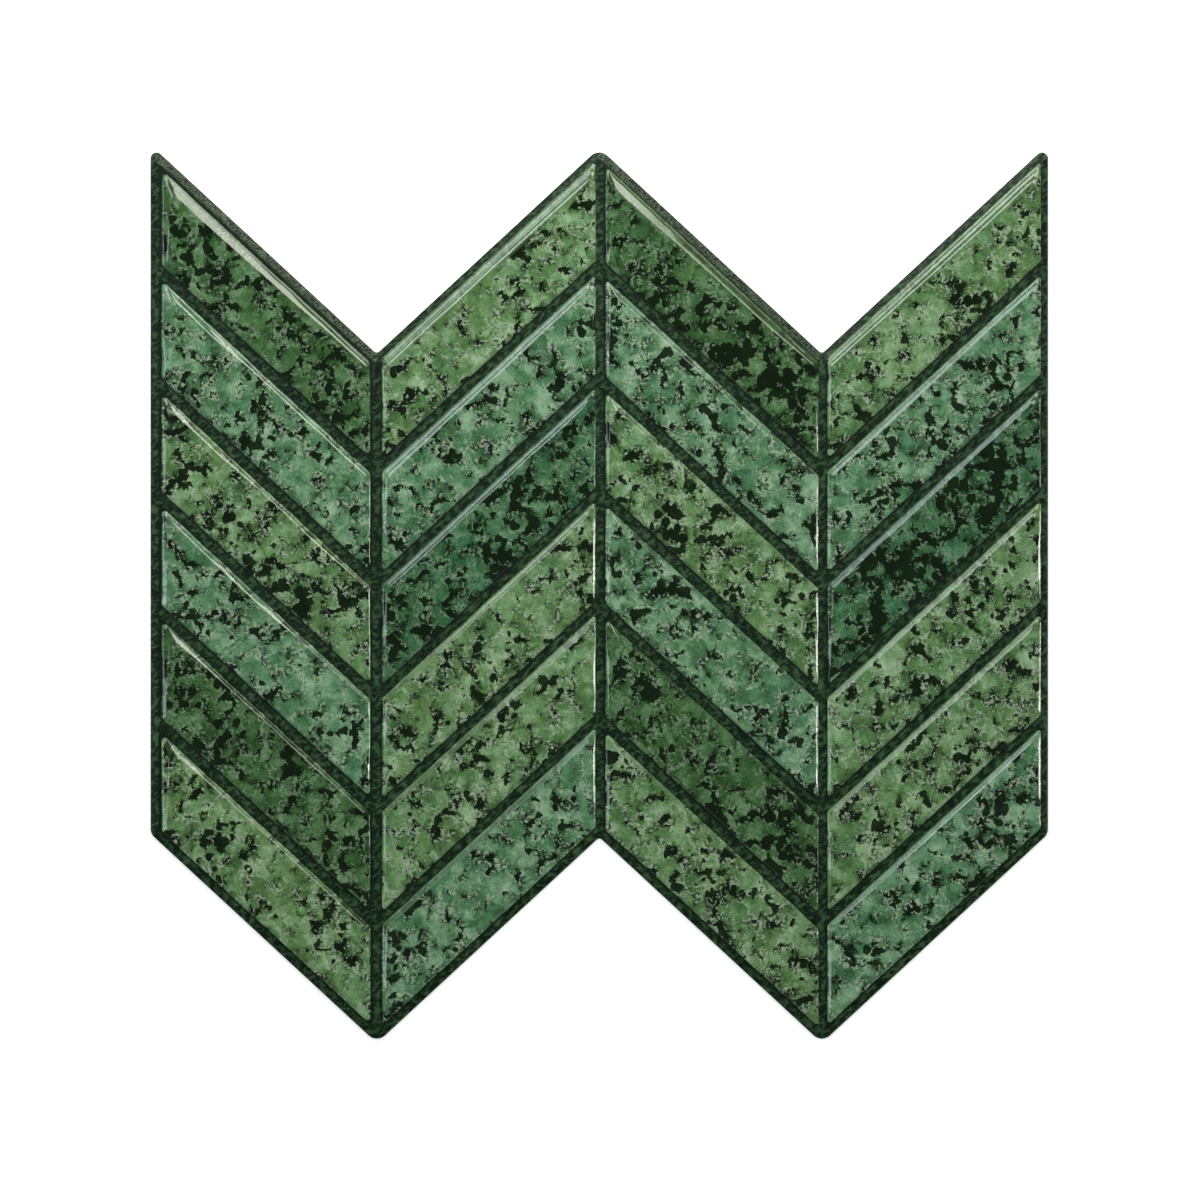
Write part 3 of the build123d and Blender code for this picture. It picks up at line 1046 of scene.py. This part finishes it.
FLOOR_GAP = 0.02 * MM  # keeps the floor clear of the liner's underside
FLOOR_POINTS = 96
SENSOR_WIDTH = 36.0  # in millimetres, as the lens is
FAR_CLIP = 100.0
CEILING_FROM = 0.75  # height of a direction, as a sine, at which the ceiling begins
CREAM = (0.97, 0.97, 0.86)
COOL = (0.84, 0.97, 1.0)
WHITE = (1.0, 0.99, 0.95)
SOFTBOXES = (
    # name; azimuth, angles outward and aside, width and height in degrees; distance, radiance, colour
    ("cream_overhead", 47.25, 19.0, 7.4, 7.4, 9, 4.0, 11, CREAM),
    ("cream_spill", 47.25, 19.0, 1.5, 4.4, 8, 4.0, 6, CREAM),
    ("cream_side", 47.25, 45.7, 6.0, 10, 10, 4.0, 7.5, CREAM),
    ("cool_overhead", 132.75, 21.0, -4.5, 14, 10, 4.0, 6.6, COOL),
    ("cool_middle", 132.75, 31.0, -1.0, 18, 10, 4.0, 0.9, COOL),
    ("cool_side", 132.75, 48.0, 0.0, 12, 10, 4.0, 4.4, COOL),
    ("left_panel", 180.0, 41.0, 0.0, 24, 12, 4.0, 4.5, COOL),
    ("right_strip", 0.0, 63.0, -0.8, 6, 16, 4.0, 18, WHITE),
    ("corner_wash", 113.0, 30.0, 0.0, 14, 20, 4.0, 3, COOL),
    ("key", 90.0, 50.0, 0.0, 26, 26, 0.55, 6.7, WHITE),
)


def add_softbox(name, azimuth, outward, aside, wide, tall, distance, radiance, colour):
    """A rectangular lamp that faces the tile and spans the given angles as seen from there."""
    lamp = bpy.data.lights.new(name, "AREA")
    lamp.shape = "RECTANGLE"
    lamp.size = 2 * distance * math.tan(math.radians(wide) / 2)
    lamp.size_y = 2 * distance * math.tan(math.radians(tall) / 2)
    lamp.energy = radiance * math.pi * lamp.size * lamp.size_y
    lamp.color = colour
    turn = math.radians(azimuth)
    out = Vector((math.cos(turn), math.sin(turn), 0))
    sideways = Vector((-math.sin(turn), math.cos(turn), 0))
    aim = out * math.sin(math.radians(outward)) + sideways * math.sin(math.radians(aside))
    aim.z = math.sqrt(1 - aim.length_squared)
    across = (sideways - aim * sideways.dot(aim)).normalized()
    axes = Matrix((across, aim.cross(across), aim)).transposed()
    softbox = bpy.data.objects.new(name, lamp)
    softbox.location = aim * distance
    softbox.rotation_euler = axes.to_euler()
    softbox.visible_camera = False
    bpy.context.scene.collection.objects.link(softbox)


def floor_material(settings):
    """Matt white floor that still shows a shadow, lifted to white where it is seen."""
    material, bench = new_material("floor_white")
    path = bench.add("ShaderNodeLightPath", {}).outputs
    seen = bench.math("MAXIMUM", path["Is Camera Ray"], path["Is Glossy Ray"])
    seen = bench.math("MAXIMUM", seen, path["Is Transmission Ray"])
    glow = bench.math("MULTIPLY", seen, settings.floor_glow)
    matt = bench.add("ShaderNodeBsdfDiffuse", {"Color": tuple(settings.floor_colour)})
    lift = bench.add("ShaderNodeEmission", {"Color": (1, 1, 1), "Strength": glow})
    bench.show(bench.add("ShaderNodeAddShader", {0: matt.outputs[0], 1: lift.outputs[0]}))
    return material


def room_world(settings):
    """A room with a dim ceiling and pale walls, by the height of the direction looked in."""
    world = bpy.data.worlds.new("room")
    world.use_nodes = True
    bench = NodeBench(world.node_tree)
    direction = bench.add("ShaderNodeTexCoord", {}).outputs["Generated"]
    height = bench.add("ShaderNodeSeparateXYZ", {0: direction}).outputs["Z"]
    strength = bench.step(height, 0.0, CEILING_FROM, settings.walls, settings.ceiling)
    background = bench.add("ShaderNodeBackground", {"Color": (1, 1, 1), "Strength": strength})
    bench.add("ShaderNodeOutputWorld", {"Surface": background.outputs[0]})
    bpy.context.scene.world = world


# Operators


class TILE_OT_gel_pads(bpy.types.Operator):
    """Pour every gel pad over its stretch of the stone print"""

    bl_idname = "tile.gel_pads"
    bl_label = "Gel Pads"

    def execute(self, context):
        shape = context.scene.tile_gel
        finishes = gel_materials(context.scene.tile_print)
        for row, column in PAD_CENTRES:
            points, faces, calm = gel_pad_surface(shape, row, column)
            pad = make_piece(f"poured_gel_row{row}_col{column}", points, faces, CREASE)
            lay_print(pad, row, column)
            # Painted glare, where the print gives way to plain green under the highlights
            keep_values(pad, "calm", calm)
            slot = pad_shade(row, column)
            pad.data.materials.append(finishes[slot])
            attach(pad, "root")
            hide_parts(pad_node(row, column))
        return {"FINISHED"}


class TILE_OT_base_sheet(bpy.types.Operator):
    """Press the grained vinyl sheet that shows between the pads"""

    bl_idname = "tile.base_sheet"
    bl_label = "Base Sheet"

    def execute(self, context):
        settings = context.scene.tile_sheet
        points, faces, grain, rubbed = base_sheet_surface(settings)
        sheet = make_piece("grained_sheet", points, faces, CREASE)
        keep_values(sheet, "grain", grain)
        # Painted sheen on the upper falling edges, for the material to read
        keep_values(sheet, "rubbed", rubbed)
        sheet.data.materials.append(vinyl_material(settings))
        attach(sheet, "root")
        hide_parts("base_sheet")
        return {"FINISHED"}


class TILE_OT_release_liner(bpy.types.Operator):
    """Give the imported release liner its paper"""

    bl_idname = "tile.release_liner"
    bl_label = "Release Liner"

    def execute(self, context):
        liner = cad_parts["release_liner"]
        liner.data.materials.clear()
        liner.data.materials.append(paper_material(context.scene.tile_sheet))
        return {"FINISHED"}


class TILE_OT_stage(bpy.types.Operator):
    """Lay the floor and set up the camera, the softboxes and the room"""

    bl_idname = "tile.stage"
    bl_label = "Stage"

    def execute(self, context):
        settings = context.scene.tile_stage
        scene = context.scene
        turn = np.linspace(0, 2 * math.pi, FLOOR_POINTS, endpoint=False)
        level = np.full(FLOOR_POINTS, CAD_BOX[0][2] - FLOOR_GAP)
        radius = settings.floor_radius
        rim = np.stack((radius * np.cos(turn), radius * np.sin(turn), level), axis=-1)
        floor = make_piece("floor", rim, [list(range(FLOOR_POINTS))], math.pi)
        floor.data.materials.append(floor_material(settings))

        lens = bpy.data.cameras.new("camera")
        lens.lens = settings.focal_length
        lens.sensor_width = SENSOR_WIDTH
        lens.clip_end = FAR_CLIP
        camera = bpy.data.objects.new("camera", lens)
        distance = settings.view_width * settings.focal_length / SENSOR_WIDTH
        camera.location = (*settings.view_centre, SHEET_LOW[2] + distance)
        scene.collection.objects.link(camera)
        scene.camera = camera

        for softbox in SOFTBOXES:
            add_softbox(*softbox)
        room_world(settings)
        scene.view_settings.view_transform = "Standard"
        return {"FINISHED"}


class TILE_PT_sidebar(bpy.types.Panel):
    """Sizes, colours and steps of the tile"""

    bl_idname = "TILE_PT_sidebar"
    bl_label = "Backsplash Tile"
    bl_space_type = "VIEW_3D"
    bl_region_type = "UI"
    bl_category = "Tile"

    def draw(self, context):
        for operator, settings in STEPS:
            box = self.layout.box()
            box.operator(operator)
            for name in settings:
                group = getattr(context.scene, name)
                for prop in group.__annotations__:
                    box.prop(group, prop)


STEPS = (
    ("tile.gel_pads", ("tile_gel", "tile_print")),
    ("tile.base_sheet", ("tile_sheet",)),
    ("tile.release_liner", ()),
    ("tile.stage", ("tile_stage",)),
)
SETTINGS = {
    "tile_gel": GelPadSettings,
    "tile_print": StonePrintSettings,
    "tile_sheet": BaseSheetSettings,
    "tile_stage": StageSettings,
}
CLASSES = (
    *SETTINGS.values(),
    TILE_OT_gel_pads,
    TILE_OT_base_sheet,
    TILE_OT_release_liner,
    TILE_OT_stage,
    TILE_PT_sidebar,
)


def register():
    """Registers the classes and hangs the settings on the scene."""
    for cls in CLASSES:
        bpy.utils.register_class(cls)
    for name, cls in SETTINGS.items():
        setattr(bpy.types.Scene, name, PointerProperty(type=cls))


def unregister():
    """Takes the settings and the classes away again."""
    for name in SETTINGS:
        delattr(bpy.types.Scene, name)
    for cls in reversed(CLASSES):
        bpy.utils.unregister_class(cls)


def main():
    """Builds every piece and the stage."""
    register()
    bpy.ops.tile.gel_pads()
    bpy.ops.tile.base_sheet()
    bpy.ops.tile.release_liner()
    bpy.ops.tile.stage()


if __name__ == "__main__":
    main()
